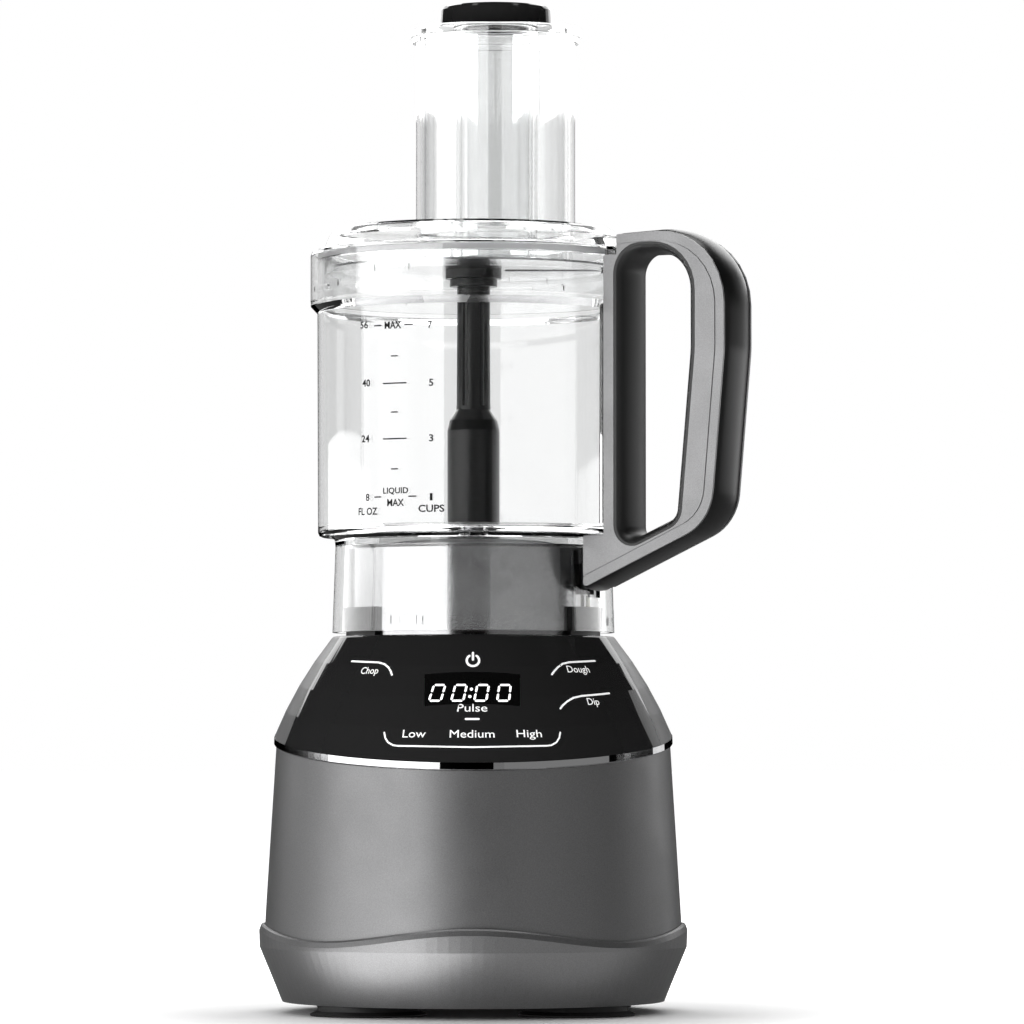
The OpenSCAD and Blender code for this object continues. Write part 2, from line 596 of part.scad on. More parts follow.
module lid() color([0.85, 0.9, 0.92, 0.3]) difference() {
    union() {
        rotate_extrude() polygon([
            [0, 372.6], [64.8, 372.3], [67.6, 369], [69.5, lid_ledge_z], [69.5, 352], [71.5, 352], [71.8, 362],
            [76.6, 362], [76.6, collar_z + 0.4], [lid_skirt_r, collar_z + 0.4], [lid_skirt_r, 361.6],
            [77.6, 363.4], [76, lid_ledge_z], [72.2, lid_ledge_z], [71.4, 366], [69.6, 370.4], [67.6, 373.2],
            [65.5, 374.4], [62, lid_top_z - 0.2], [0, lid_top_z]]);
        stadium(chute_r, chute_low_z, chute_top_z);
        stadium(chute_r + 1.7, chute_top_z - 2.6, chute_top_z);
        stadium(chute_r + 1.2, lid_top_z - 1, lid_top_z + 1.5);
        for (a = [0:90:270]) intersection() {
            ring(76.7, 75.5, 343.6, 346);
            wedge(a + 20, 7, 343, 347);
        }
        lid_tab();
    }
    stadium(chute_r - chute_wall, chute_low_z - 5, chute_top_z + 5);
    // The tab's sloping underside, parallel to the top of the rod.
    in_handle() translate([78.7, 4, tab_z]) rotate([-cam_slope, 0, 0]) translate([0, -30, -20]) cube([12, 60, 20]);
}
module lid_tab() in_handle() difference() {
    union() {
        translate([69, -8, lid_ledge_z - 1]) cube([8, 16, 4.6]);
        translate([76, -8, tab_z - 1]) cube([9.2, 16, 9.2]);
    }
    translate([85.2, 0, tab_z + 8.2]) rotate([90, 0, 0]) difference() {
        translate([-3, -3, -9]) cube([4, 4, 18]);
        translate([-3, -3, -10]) cylinder(h = 20, r = 3);
    }
}

module large_pusher() color([0.85, 0.9, 0.92, 0.3]) difference() {
    union() {
        stadium(chute_r - chute_wall - 0.5, pusher_low_z, pusher_top_z);
        stadium(chute_r + 3, chute_top_z + 0.2, pusher_top_z);
    }
    difference() {
        stadium(chute_r - chute_wall - 2.5, pusher_low_z + 2, pusher_top_z + 1);
        translate([chute_x, chute_y, pusher_low_z - 1]) cylinder(h = 150, r = tube_r);
    }
    translate([chute_x, chute_y, pusher_low_z - 1]) cylinder(h = 150, r = tube_r - 1.8);
}

module small_pusher_body() color([0.85, 0.9, 0.92, 0.3]) translate([chute_x, chute_y, 0]) difference() {
    translate([0, 0, pusher_low_z + 2]) cylinder(h = cap_low_z - pusher_low_z, r = tube_r - 2.3);
    translate([0, 0, pusher_low_z + 4]) cylinder(h = 150, r = tube_r - 4.1);
}

module small_pusher_cap() color([0.04, 0.04, 0.04]) translate([chute_x, chute_y, 0]) rotate_extrude()
    polygon([[0, cap_low_z + 2.2], [tube_r - 2.2, cap_low_z + 2.2], [tube_r - 2.2, cap_low_z], [cap_r, cap_low_z],
             [cap_r - 0.6, cap_top_z - 1.6], [cap_r - 1.2, cap_top_z - 0.6], [cap_r - 2.4, cap_top_z],
             [cap_r - 6, cap_top_z], [cap_r - 7, cap_top_z - 0.7], [0, cap_top_z - 0.9]]);

// ---------- stem and disc ----------

module drive_stem() color([0.06, 0.06, 0.06]) difference() {
    rotate_extrude() polygon([[0, 231.5], [12.5, 231.5], [12.5, 278], [11.4, 283], [8.2, 288], [7.9, 346.9],
                              [5, 346.9], [5, 353.8], [0, 353.8]]);
    translate([0, 0, 230]) cylinder(h = 26, r = 9.9);
    hex_prism(12.4, 255, 278);
    for (a = [0:60:300]) rotate([0, 0, a]) translate([8.6, 0, 290]) cylinder(h = 50, r = 1.5);
}

module disc_hub() color([0.05, 0.05, 0.05]) difference() {
    rotate_extrude() polygon([[0, 347], [11.4, 347], [11.4, 350.4], [13.5, 350.8], [13.5, disc_z], [9.8, disc_z],
                              [9.8, disc_z + 2], [8.8, disc_z + 2.6], [0, disc_z + 2.8]]);
    translate([0, 0, 346]) cylinder(h = 8, r = 5.04);
}

module slicing_disc() color([0.78, 0.78, 0.8]) difference() {
    ring(disc_r, 9.85, disc_z, disc_z + 1);
    translate([15, -6, disc_z - 1]) cube([48, 11, 3]);
}
module slicing_blade() color([0.85, 0.85, 0.87]) translate([14, 4.6, disc_z + 1.37]) rotate([-5, 0, 0])
    translate([0, -9, 0]) cube([50, 12.5, 0.6]);

// ---------- output ----------

body_shell();
shoulder_shell();
deck_ring();
trim_ring();
control_panel();
display_lens();
base_skirt();
bottom_cover();
foot_front_left();
foot_front_right();
foot_rear_left();
foot_rear_right();
neck_cover();
locking_blocks();
shaft_seal();
gearbox_housing();
ring_gear();
output_bush();
upper_motor_bracket();
lower_motor_bracket();
stator_core();
field_coils();
motor_bushes();
brush_holders();
carbon_brushes();
motor_standoffs();
display_board();
power_board();
interlock_switch();
base_screws();
cord_gland();
rotor_core();
commutator();
rotor_shaft();
sun_gear();
cooling_fan();
planet_carrier();
output_shaft();
planet_gear_1();
planet_gear_2();
planet_gear_3();
switch_plunger();
bowl_gasket();
bowl();
handle_plate_front();
handle_plate_rear();
grip_cover();
loop_liner();
handle_screws();
safety_rod();
rod_spring();
lid_seal();
lid();
large_pusher();
small_pusher_body();
small_pusher_cap();
drive_stem();
disc_hub();
slicing_disc();
slicing_blade();
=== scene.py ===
"""Looks of the food processor: materials, printed marks, floor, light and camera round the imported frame."""
import json
import math

import bmesh
import bpy
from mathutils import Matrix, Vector
from mathutils.bvhtree import BVHTree


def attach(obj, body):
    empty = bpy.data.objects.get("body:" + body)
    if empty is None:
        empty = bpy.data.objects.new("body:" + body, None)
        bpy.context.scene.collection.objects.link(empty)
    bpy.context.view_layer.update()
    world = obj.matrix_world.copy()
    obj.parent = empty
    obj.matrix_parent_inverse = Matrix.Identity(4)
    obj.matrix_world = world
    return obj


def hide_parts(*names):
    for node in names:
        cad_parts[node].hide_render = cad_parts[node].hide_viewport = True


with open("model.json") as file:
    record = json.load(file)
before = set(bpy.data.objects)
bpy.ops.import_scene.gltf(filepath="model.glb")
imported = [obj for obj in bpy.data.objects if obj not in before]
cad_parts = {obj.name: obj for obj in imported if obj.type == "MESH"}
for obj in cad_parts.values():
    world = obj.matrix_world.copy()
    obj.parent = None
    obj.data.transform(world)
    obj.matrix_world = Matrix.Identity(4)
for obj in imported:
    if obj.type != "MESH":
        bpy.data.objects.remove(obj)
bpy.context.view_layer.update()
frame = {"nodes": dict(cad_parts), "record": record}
nodes = frame["nodes"]
scene = bpy.context.scene
MM = 0.001

# ---------- camera ----------

cam_data = bpy.data.cameras.new("camera")
cam_data.lens = 204
cam_data.sensor_width = 36
cam_data.clip_end = 50
cam = bpy.data.objects.new("camera", cam_data)
scene.collection.objects.link(cam)
camera_spot = Vector((0.0185, -2.784, 0.125))
camera_aim = Vector((0.0185, 0, 0.239))
cam.location = camera_spot
cam.rotation_euler = (camera_aim - camera_spot).to_track_quat("-Z", "Y").to_euler()
scene.camera = cam

# ---------- materials ----------

# Noise scales are per metre, and bump distances are in metres.


def material(name, color, rough, metallic=0.0, **sockets):
    m = bpy.data.materials.new(name)
    m.use_nodes = True
    shader = m.node_tree.nodes["Principled BSDF"]
    shader.inputs["Base Color"].default_value = (*color, 1)
    shader.inputs["Roughness"].default_value = rough
    shader.inputs["Metallic"].default_value = metallic
    for key, value in sockets.items():
        shader.inputs[key.replace("_", " ")].default_value = value
    return m


def map_range(tree, value, spans, smooth=False):
    """Maps a number from one span to another. spans holds from low, from high, to low and to high."""
    node = tree.nodes.new("ShaderNodeMapRange")
    if smooth:
        node.interpolation_type = "SMOOTHSTEP"
    for socket, number in zip(("From Min", "From Max", "To Min", "To Max"), spans):
        node.inputs[socket].default_value = number
    tree.links.new(value, node.inputs["Value"])
    return node.outputs[0]


def object_coords(tree):
    return tree.nodes.new("ShaderNodeTexCoord").outputs["Object"]


def axis_distance(tree, coords):
    """Distance from the upright axis."""
    flat = tree.nodes.new("ShaderNodeVectorMath")
    flat.operation = "MULTIPLY"
    flat.inputs[1].default_value = (1, 1, 0)
    tree.links.new(coords, flat.inputs[0])
    length = tree.nodes.new("ShaderNodeVectorMath")
    length.operation = "LENGTH"
    tree.links.new(flat.outputs[0], length.inputs[0])
    return length.outputs["Value"]


def noise(m, scale, stretch=(1, 1, 1), detail=3.0, rounds=False):
    """Noise in the object's own space. With rounds it varies with the distance from the axis."""
    tree = m.node_tree
    coords = object_coords(tree)
    if rounds:
        split = tree.nodes.new("ShaderNodeSeparateXYZ")
        tree.links.new(coords, split.inputs[0])
        ring = tree.nodes.new("ShaderNodeCombineXYZ")
        tree.links.new(axis_distance(tree, coords), ring.inputs[0])
        tree.links.new(split.outputs[2], ring.inputs[2])
        coords = ring.outputs[0]
    mapping = tree.nodes.new("ShaderNodeMapping")
    mapping.inputs["Scale"].default_value = stretch
    tree.links.new(coords, mapping.inputs["Vector"])
    tex = tree.nodes.new("ShaderNodeTexNoise")
    tex.inputs["Scale"].default_value = scale
    tex.inputs["Detail"].default_value = detail
    tree.links.new(mapping.outputs[0], tex.inputs["Vector"])
    return tex.outputs["Fac"]


# Noise stays mostly between these two values.
NOISE_LOW, NOISE_HIGH = 0.3, 0.7


def drive(m, socket, fac, low, high):
    """Lets a noise set a number on the shader, between low and high."""
    tree = m.node_tree
    number = map_range(tree, fac, (NOISE_LOW, NOISE_HIGH, low, high))
    tree.links.new(number, tree.nodes["Principled BSDF"].inputs[socket])


def tint(m, fac, dark, light):
    """Lets a noise mix the base colour between two tones."""
    tree = m.node_tree
    ramp = tree.nodes.new("ShaderNodeValToRGB")
    for stop, position, color in zip(ramp.color_ramp.elements, (NOISE_LOW, NOISE_HIGH), (dark, light)):
        stop.position = position
        stop.color = (*color, 1)
    tree.links.new(fac, ramp.inputs[0])
    tree.links.new(ramp.outputs[0], tree.nodes["Principled BSDF"].inputs["Base Color"])


def bump(m, fac, strength, distance):
    tree = m.node_tree
    node = tree.nodes.new("ShaderNodeBump")
    node.inputs["Strength"].default_value = strength
    node.inputs["Distance"].default_value = distance
    tree.links.new(fac, node.inputs["Height"])
    tree.links.new(node.outputs[0], tree.nodes["Principled BSDF"].inputs["Normal"])


def grey(v):
    return (v, v, v * 1.01)


def paint(name, tone, rough, metallic):
    """Satin metallic surface: fine flakes and a faint unevenness."""
    m = material(name, grey(tone), rough, metallic)
    flakes = noise(m, 2600, detail=1.0)
    tint(m, flakes, grey(tone * 0.88), grey(tone * 1.12))
    drive(m, "Roughness", noise(m, 60), rough - 0.03, rough + 0.03)
    bump(m, flakes, 0.12, 0.00004)
    return m


def moulded(name, color, rough, texture=1400, depth=0.1, **sockets):
    """Moulded plastic or rubber with a fine surface texture."""
    m = material(name, color, rough, **sockets)
    tint(m, noise(m, 35), [c * 0.94 for c in color], [c * 1.06 for c in color])
    skin = noise(m, texture, detail=2.0)
    drive(m, "Roughness", skin, rough * 0.92, rough * 1.08)
    bump(m, skin, depth, 0.00005)
    return m


def glossy(name, tone, rough, **sockets):
    """Polished black plastic or glass with faint handling haze."""
    m = material(name, grey(tone), rough, **sockets)
    drive(m, "Roughness", noise(m, 18, detail=4.0), rough * 0.7, rough * 1.5)
    bump(m, noise(m, 24), 0.01, 0.0002)
    return m


def polished(name, tone):
    """Bright plating with faint handling haze."""
    m = material(name, grey(tone), 0.06, 1.0)
    drive(m, "Roughness", noise(m, 40), 0.04, 0.09)
    bump(m, noise(m, 60), 0.01, 0.0001)
    return m


def clear(name, color):
    """Clear moulded plastic with very slight flow lines."""
    rough = 0.015
    m = material(name, color, rough, Transmission_Weight=1.0, IOR=1.49)
    drive(m, "Roughness", noise(m, 30), rough * 0.6, rough * 1.6)
    bump(m, noise(m, 55, (1, 1, 0.25), 1.0), 0.02, 0.0002)
    return m


def turned(name, tone, rough, stretch):
    """Steel with fine rings left by turning."""
    m = material(name, grey(tone), rough, 1.0)
    rings = noise(m, 1.0, stretch, 2.0, rounds=True)
    tint(m, rings, grey(tone * 0.93), grey(min(1, tone * 1.05)))
    drive(m, "Roughness", rings, rough * 0.85, rough * 1.2)
    bump(m, rings, 0.08, 0.00003)
    return m


def painted_shade_towards_middle(m, near, far, low):
    """Darkens the base colour towards the middle: painted shade, for the dull band that the turned steel's
    sheen shows near the hub.
    """
    tree = m.node_tree
    base = tree.nodes["Principled BSDF"].inputs["Base Color"]
    source = base.links[0].from_socket
    painted_shade_factor = map_range(tree, axis_distance(tree, object_coords(tree)), (near, far, low, 1.0), smooth=True)
    scale = tree.nodes.new("ShaderNodeVectorMath")
    scale.operation = "SCALE"
    tree.links.new(source, scale.inputs[0])
    tree.links.new(painted_shade_factor, scale.inputs["Scale"])
    tree.links.new(scale.outputs[0], base)
    return m


def metal(name, color, rough):
    """Plain machined or cast metal for the inside of the base."""
    m = material(name, color, rough, 1.0)
    tint(m, noise(m, 120), [c * 0.85 for c in color], color)
    drive(m, "Roughness", noise(m, 400), rough * 0.8, rough * 1.25)
    bump(m, noise(m, 900), 0.15, 0.00005)
    return m


looks = {
    "graphite_shell": paint("graphite_shell", 0.19, 0.43, 0.85),
    "graphite_skirt": paint("graphite_skirt", 0.21, 0.43, 0.85),
    "trim_chrome": polished("trim_chrome", 0.58),
    "black_gloss": glossy("black_gloss", 0.014, 0.05, Specular_IOR_Level=0.3),
    "display_glass": glossy("display_glass", 0.003, 0.04, Specular_IOR_Level=0.3),
    "black_matte": moulded("black_matte", grey(0.006), 0.3, Specular_IOR_Level=0.3),
    "foot_rubber": moulded("foot_rubber", grey(0.012), 0.6, 900, 0.2),
    "neck_steel": paint("neck_steel", 0.34, 0.17, 1.0),
    "clear_plastic": clear("clear_plastic", (0.932, 0.935, 0.935)),
    "handle_silver": paint("handle_silver", 0.2, 0.36, 0.75),
    "grip_black": moulded("grip_black", grey(0.005), 0.3, 1700, 0.16, Specular_IOR_Level=0.35),
    "seal_clear": moulded("seal_clear", grey(0.7), 0.35, Transmission_Weight=0.6),
    # The disc's steel has painted shade that darkens it towards the hub.
    "disc_steel": painted_shade_towards_middle(turned("disc_steel", 0.6, 0.2, (2600, 1, 40)), 0.02, 0.07, 0.25),
    "machined_steel": metal("machined_steel", (0.50, 0.50, 0.52), 0.3),
    "cast_aluminium": metal("cast_aluminium", (0.62, 0.62, 0.64), 0.45),
    "bronze": metal("bronze", (0.56, 0.36, 0.17), 0.35),
    "copper_wire": metal("copper_wire", (0.60, 0.24, 0.10), 0.35),
    "lamination": metal("lamination", (0.22, 0.22, 0.24), 0.5),
    "gear_nylon": moulded("gear_nylon", (0.72, 0.70, 0.62), 0.45),
    "board_green": moulded("board_green", (0.02, 0.14, 0.06), 0.4),
    "carbon": moulded("carbon", grey(0.03), 0.7),
}
# The lid and the pushers have up to eight walls in line, so each of them is a little clearer than the bowl.
clear_pale = clear("clear_pale", (0.978, 0.98, 0.98))
PALE_NODES = ("lid", "large_pusher", "small_pusher_body")
# The liner's black is a paler copy of the grip's, painted lighter for the light that its walls catch.
liner_black_painted_lighter = moulded("liner_black_painted_lighter", grey(0.012), 0.42, 1700, 0.16)
slots = {s["node"]: s["material_slot"] for s in frame["record"]["subparts"]}
for name, obj in nodes.items():
    if not obj.material_slots:
        obj.data.materials.append(None)
    for entry in obj.material_slots:
        entry.material = clear_pale if name in PALE_NODES else looks[slots[name]]


def ink(name, tone, rough, low, high, **sockets):
    """Printed or lit marks, with a slightly uneven gloss."""
    m = material(name, (tone, tone, tone), rough, **sockets)
    drive(m, "Roughness", noise(m, 900), low, high)
    return m


WHITE = (1, 1, 1, 1)
# The white print glows a little, which is painted light, since print gives no light of its own. The clock's
# segments glow as a lit display does.
print_white_glowing = ink("print_white_glowing", 0.8, 0.4, 0.35, 0.5, Emission_Color=WHITE, Emission_Strength=0.35)
print_black = ink("print_black", 0.003, 0.5, 0.45, 0.6, Specular_IOR_Level=0.2)
lit = ink("lit_segments", 0.8, 0.4, 0.35, 0.5, Emission_Color=WHITE, Emission_Strength=0.9)

# ---------- rounded handle pieces ----------


def filleted(points, steps=14):
    """Outline with filleted corners from (x, z, radius) at each corner."""
    out = []
    for i, (x, z, r) in enumerate(points):
        here = Vector((x, z))
        u = (Vector(points[i - 1][:2]) - here).normalized()
        v = (Vector(points[(i + 1) % len(points)][:2]) - here).normalized()
        half = u.angle(v) / 2
        centre = here + (u + v).normalized() * r / math.sin(half)
        p = here + u * r / math.tan(half) - centre
        q = here + v * r / math.tan(half) - centre
        start = math.atan2(p.y, p.x)
        turn = math.atan2(p.x * q.y - p.y * q.x, p.dot(q))
        angles = [start + turn * k / steps for k in range(steps + 1)]
        out.append([centre + r * Vector((math.cos(a), math.sin(a))) for a in angles] if r else [here])
    return out


def refined(path, closed, step=3.0):
    """Splits long stretches of a path."""
    out = []
    for a, b in zip(path, path[1:] + path[:1] if closed else path[1:]):
        n = max(1, round((b - a).length / step))
        out += [a.lerp(b, k / n) for k in range(n)]
    return out if closed else out + [path[-1]]


HANDLE_TURN = math.radians(-30)
SHARP_ANGLE = math.radians(45)


def handle_sweep(name, path, closed, section, mat):
    """Sweeps a section of (offset to the right of the path, y) pairs along a path in the handle's plane."""
    n, k = len(path), len(section)
    verts = []
    for i, p in enumerate(path):
        a = path[i - 1] if closed or i else p
        b = path[(i + 1) % n] if closed or i < n - 1 else p
        d = (b - a).normalized()
        for off, y in section:
            x, z = p.x + d.y * off, p.y - d.x * off
            verts.append((MM * (x * math.cos(HANDLE_TURN) - y * math.sin(HANDLE_TURN)),
                          MM * (x * math.sin(HANDLE_TURN) + y * math.cos(HANDLE_TURN)), MM * z))
    faces = [(i * k + j, i * k + (j + 1) % k, (i + 1) % n * k + (j + 1) % k, (i + 1) % n * k + j)
             for i in range(n if closed else n - 1) for j in range(k)]
    if not closed:
        faces += [tuple(range(k))[::-1], tuple((n - 1) * k + j for j in range(k))]
    mesh = bpy.data.meshes.new(name)
    mesh.from_pydata(verts, [], faces)
    bm = bmesh.new()
    bm.from_mesh(mesh)
    bmesh.ops.recalc_face_normals(bm, faces=bm.faces)
    bm.to_mesh(mesh)
    bm.free()
    mesh.shade_smooth()
    mesh.set_sharp_from_angle(angle=SHARP_ANGLE)
    obj = bpy.data.objects.new(name, mesh)
    scene.collection.objects.link(obj)
    mesh.materials.append(mat)
    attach(obj, "bowl")
    return obj


def pillow(edge, rise, half, low, steps=16):
    """Section that swells by rise between two edges at height edge, with a flat side at low."""
    top = [(edge + rise * math.sqrt(max(0, 1 - (t / half) ** 2)), t)
           for t in (half * math.sin(math.pi / 2 * (2 * i / steps - 1)) for i in range(steps + 1))]
    return top + [(low, half), (low, -half)]


# Corners are (distance from the axis, height, fillet radius) in millimetres, in the handle's plane.
COVER_CORNERS = [(86.2, 367.8, 0.8), (143.4, 369.9, 35), (143.4, 312, 60), (136, 231.2, 24), (68.2, 201.5, 0),
                 (68.2, 226, 0)]
LOOP_CORNERS = [(87, 361.3, 12), (125.7, 361.3, 21), (125.7, 312, 80), (118.3, 232.7, 8), (87, 219.1, 7.5)]
# The cover runs along the outer side only: it leaves out the last corner, and half of the first one's fillet.
cover_outline = [p for corner in filleted(COVER_CORNERS)[:-1] for p in corner]
cover_path = refined(cover_outline[8:], False)
cover_section = [(-off, y) for off, y in pillow(edge=-1.1, rise=2.6, half=12.55, low=-1.6)]
cover = handle_sweep("grip_cover_rounded", cover_path, False, cover_section, looks["grip_black"])
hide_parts("grip_cover")
liner_path = refined([p for corner in filleted(LOOP_CORNERS) for p in corner], True)
liner_section = pillow(edge=-1.3, rise=4.2, half=13.95, low=-2.3)
liner = handle_sweep("loop_liner_rounded", liner_path, True, liner_section, liner_black_painted_lighter)
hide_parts("loop_liner")

# ---------- printed marks ----------


def surface(*names):
    """Some CAD nodes as one surface to cast rays at."""
    verts, faces = [], []
    for n in names:
        data = nodes[n].data
        faces += [[len(verts) + i for i in p.vertices] for p in data.polygons]
        verts += [v.co.copy() for v in data.vertices]
    return BVHTree.FromPolygons(verts, faces)


# Rays at a round surface start this far from the axis, outside all of the object.
RAY_START = 0.3


def hit(tree, turn, height):
    """Point and normal of a surface, at a turn from the front in degrees and a height in millimetres."""
    a = math.radians(turn - 90)
    d = Vector((math.cos(a), math.sin(a), 0))
    found, normal, _, _ = tree.ray_cast(d * RAY_START + Vector((0, 0, height * MM)), -d)
    return found, normal


def place(tree, turn, height, slope):
    """Maps flat millimetres to a round surface that leans back by slope, from an origin on it."""
    start, _ = hit(tree, turn, height)
    radius = math.hypot(start.x, start.y) / MM

    def at(x, y, lift):
        found, normal = hit(tree, turn + math.degrees(x / radius), height + y * math.cos(math.radians(slope)))
        return found + normal * lift * MM

    return at


# Lift of a mark's back and face from the surface, in millimetres.
MARK_BACK, MARK_FACE = 0.004, 0.05


def print_on(name, mesh, at, body, mat):
    """Wraps a flat mesh onto a surface, back and face at their lifts, and adds it to the object."""
    for v in mesh.vertices:
        v.co = at(v.co.x, v.co.y, MARK_FACE if v.co.z > 0 else MARK_BACK)
    mesh.name = name
    obj = bpy.data.objects.new(name, mesh)
    scene.collection.objects.link(obj)
    mesh.materials.clear()
    mesh.materials.append(mat)
    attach(obj, body)


def words(text, width, height, bold=0.0):
    """Flat mesh of generic lettering, fitted to a width and a height in millimetres."""
    curve = bpy.data.curves.new("words", "FONT")
    curve.body = text
    curve.extrude = 0.5
    curve.offset = bold
    curve.resolution_u = 3
    holder = bpy.data.objects.new("words", curve)
    scene.collection.objects.link(holder)
    bpy.context.view_layer.update()
    graph = bpy.context.evaluated_depsgraph_get()
    mesh = bpy.data.meshes.new_from_object(holder.evaluated_get(graph))
    bpy.data.objects.remove(holder)
    xs = [v.co.x for v in mesh.vertices]
    ys = [v.co.y for v in mesh.vertices]
    for v in mesh.vertices:
        v.co.x = (v.co.x - (min(xs) + max(xs)) / 2) * width / (max(xs) - min(xs))
        v.co.y = (v.co.y - (min(ys) + max(ys)) / 2) * height / (max(ys) - min(ys))
    return mesh


def flat_solid(outlines):
    """Flat mesh of closed thin solids. Each outline is a list of polygons that share edges."""
    bm = bmesh.new()
    for polygons in outlines:
        top, bottom, edges = {}, {}, {}
        for polygon in polygons:
            keys = [(round(x, 5), round(y, 5)) for x, y in polygon]
            for key, (x, y) in zip(keys, polygon):
                if key not in top:
                    top[key] = bm.verts.new((x, y, 1))
                    bottom[key] = bm.verts.new((x, y, -1))
            bm.faces.new([top[k] for k in keys])
            bm.faces.new([bottom[k] for k in reversed(keys)])
            for edge in zip(keys, keys[1:] + keys[:1]):
                edges.setdefault(frozenset(edge), []).append(edge)
        for used in edges.values():
            if len(used) == 1:
                a, b = used[0]
                bm.faces.new((top[b], top[a], bottom[a], bottom[b]))
    mesh = bpy.data.meshes.new("flat")
    bm.to_mesh(mesh)
    bm.free()
    return mesh


def stroke(points, width, ends=6):
    """Polygons of a line of a given width with round ends, all in flat millimetres, counterclockwise."""
    points = [Vector(p) for p in points]
    rails = []
    for i, p in enumerate(points):
        a = points[max(i - 1, 0)]
        b = points[min(i + 1, len(points) - 1)]
        d = (b - a).normalized()
        side = Vector((-d.y, d.x)) * width / 2
        rails.append((p + side, p - side))
    faces = [[rails[i][1], rails[i + 1][1], rails[i + 1][0], rails[i][0]] for i in range(len(rails) - 1)]
    for p, (first, last) in ((points[0], rails[0]), (points[-1], rails[-1][::-1])):
        start = math.atan2(first.y - p.y, first.x - p.x)
        angles = [start + math.pi * k / ends for k in range(1, ends)]
        cap = [p + Vector((math.cos(a), math.sin(a))) * width / 2 for a in angles]
        faces.append([first, *cap, last])
    return faces


def arc(cx, cy, r, a0, a1, n):
    """Points round a centre, between two angles in degrees."""
    angles = [math.radians(a0 + (a1 - a0) * i / n) for i in range(n + 1)]
    return [(cx + r * math.cos(a), cy + r * math.sin(a)) for a in angles]


def along(points, step=2.0):
    """Adds points to a line, so that it can follow a curved surface."""
    out = [points[0]]
    for a, b in zip(points, points[1:]):
        n = max(1, int(math.dist(a, b) / step))
        out += [(a[0] + (b[0] - a[0]) * i / n, a[1] + (b[1] - a[1]) * i / n) for i in range(1, n + 1)]
    return out


panel = surface("control_panel", "display_lens")
PANEL_SLOPE = 24.5


def on_panel(name, mesh, turn, height, mat=print_white_glowing):
    print_on(name, mesh, place(panel, turn, height, PANEL_SLOPE), "base", mat)


for name, text, turn, height, w, h in (
        ("label_pulse", "Pulse", 0, 144.4, 14.0, 3.9),
        ("label_low", "Low", -17.3, 132.4, 11.2, 3.9),
        ("label_medium", "Medium", 0, 132.3, 20.8, 3.9),
        ("label_high", "High", 17.0, 131.9, 12.2, 5.0),
        ("label_chop", "Chop", -38.5, 161.6, 10.4, 4.6),
        ("label_dough", "Dough", 40.0, 162.2, 13.4, 4.6),
        ("label_dip", "Dip", 41.7, 147.0, 7.2, 4.6)):
    on_panel(name, words(text, w, h), turn, height)

power_icon = [stroke(arc(0, 0, 2.9, 125, 415, 28), 1.1), stroke([(0, 0.4), (0, 3.9)], 1.1)]
on_panel("power_icon", flat_solid(power_icon), 0.2, 166.6)
bracket_end = [(43.4, 7.2), (42.4, 4.4), (40.6, 2.2), (37.8, 0.7)]
bracket = [(-x, y) for x, y in bracket_end] + along([(-35.2, 0.4), (0, -0.3), (35.2, 0.4)]) + bracket_end[::-1]
arc_chop = along([(-16.5, 4.4), (1.5, 3.6)]) + [(5.4, 2.7), (8.2, 1.0), (10.0, -1.0), (11.2, -2.9)]
arc_dough = along([(16.5, 4.6), (-1.0, 3.7)]) + [(-5.2, 2.9), (-8.6, 1.0), (-11.2, -1.1), (-12.8, -2.7)]
arc_dip = along([(17.9, 5.0), (-1.0, 3.5)]) + [(-6.0, 2.5), (-10.0, 0.6), (-12.8, -1.4), (-14.4, -3.0)]
for name, points, width, turn, height in (
        ("pulse_bar", along([(-3.0, 0), (3.0, 0)]), 1.0, 0, 139.2),
        ("speed_bracket", bracket, 0.8, 0, 126.4),
        ("chop_arc", arc_chop, 0.9, -37.0, 162.6),
        ("dough_arc", arc_dough[::-1], 0.9, 37.8, 162.6),
        ("dip_arc", arc_dip[::-1], 0.9, 38.2, 146.9)):
    on_panel(name, flat_solid([stroke(points, width)]), turn, height)

DIGIT_LEAN = 0.19


def zero_digit(cx, w=5.5, h=8.1, t=1.0, gap=0.28):
    """Outlines of the six lit bars of a nought, leaning to the right, with a gap at the ends of each bar."""
    x, y = w / 2, h / 2
    bars = (((-x, y), (x, y)), ((x, y), (x, 0)), ((x, 0), (x, -y)), ((-x, -y), (x, -y)), ((-x, 0), (-x, -y)),
            ((-x, y), (-x, 0)))
    out = []
    for a, b in bars:
        a, b = Vector(a), Vector(b)
        d = (b - a).normalized()
        n = Vector((-d.y, d.x))
        a, b = a + d * gap, b - d * gap
        poly = [a, a + (d - n) * t / 2, b - (d + n) * t / 2, b, b - (d - n) * t / 2, a + (d + n) * t / 2]
        out.append([[(cx + p.x + p.y * DIGIT_LEAN, p.y) for p in poly]])
    return out


digits = [bar for cx in (-16.4, -6.1, 4.4, 14.9) for bar in zero_digit(cx)]
digits += [[arc(-0.75 + y * DIGIT_LEAN, y, 0.75, 0, 345, 23)] for y in (-1.9, 1.9)]
on_panel("clock_digits", flat_solid(digits), 0, 151.4, lit)

bowl_side = surface("bowl")


def on_bowl(name, mesh, turn, height):
    print_on(name, mesh, place(bowl_side, turn, height, 0), "bowl", print_black)


